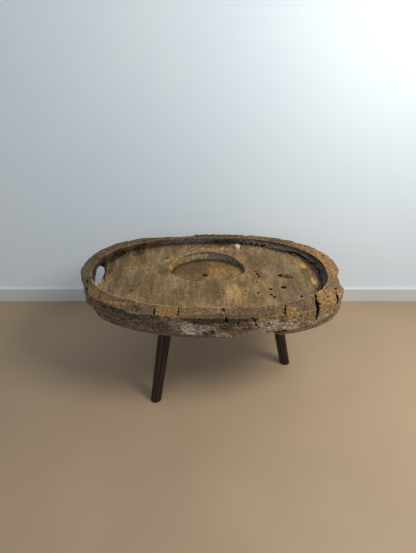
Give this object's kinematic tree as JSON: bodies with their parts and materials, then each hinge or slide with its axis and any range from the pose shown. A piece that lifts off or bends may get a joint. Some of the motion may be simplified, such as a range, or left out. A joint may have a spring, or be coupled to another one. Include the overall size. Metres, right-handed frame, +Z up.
{
  "type": "carved wooden bowl on legs",
  "caption": "Large oval bowl hollowed from a thick wooden slab, with a round recess and a hand slot, standing on three splayed round legs as a low table.",
  "frame": {"origin": "on the floor, under the middle of the bowl's outline", "axes": "+X along the bowl's length, towards the single leg; +Y from the wide rim to the narrow rim; +Z up"},
  "size_m": [1.118, 0.686, 0.52],
  "materials": {
    "old_wood": "weathered hand-hewn hardwood, waxed, with worn light patches and dark checks",
    "dark_wood": "near-black stained hardwood, drawknife facets, low sheen",
    "wedge_wood": "plain split hardwood",
    "pale_wood": "pale whittled wood, matt"
  },
  "bodies": {
    "root": {"bowl": "old_wood", "leg_front_left": "dark_wood", "leg_rear_left": "dark_wood", "leg_right": "dark_wood", "wedge_front_left": "wedge_wood", "wedge_rear_left": "wedge_wood", "wedge_right": "wedge_wood", "pale_plug": "pale_wood"}
  },
  "joints": []
}
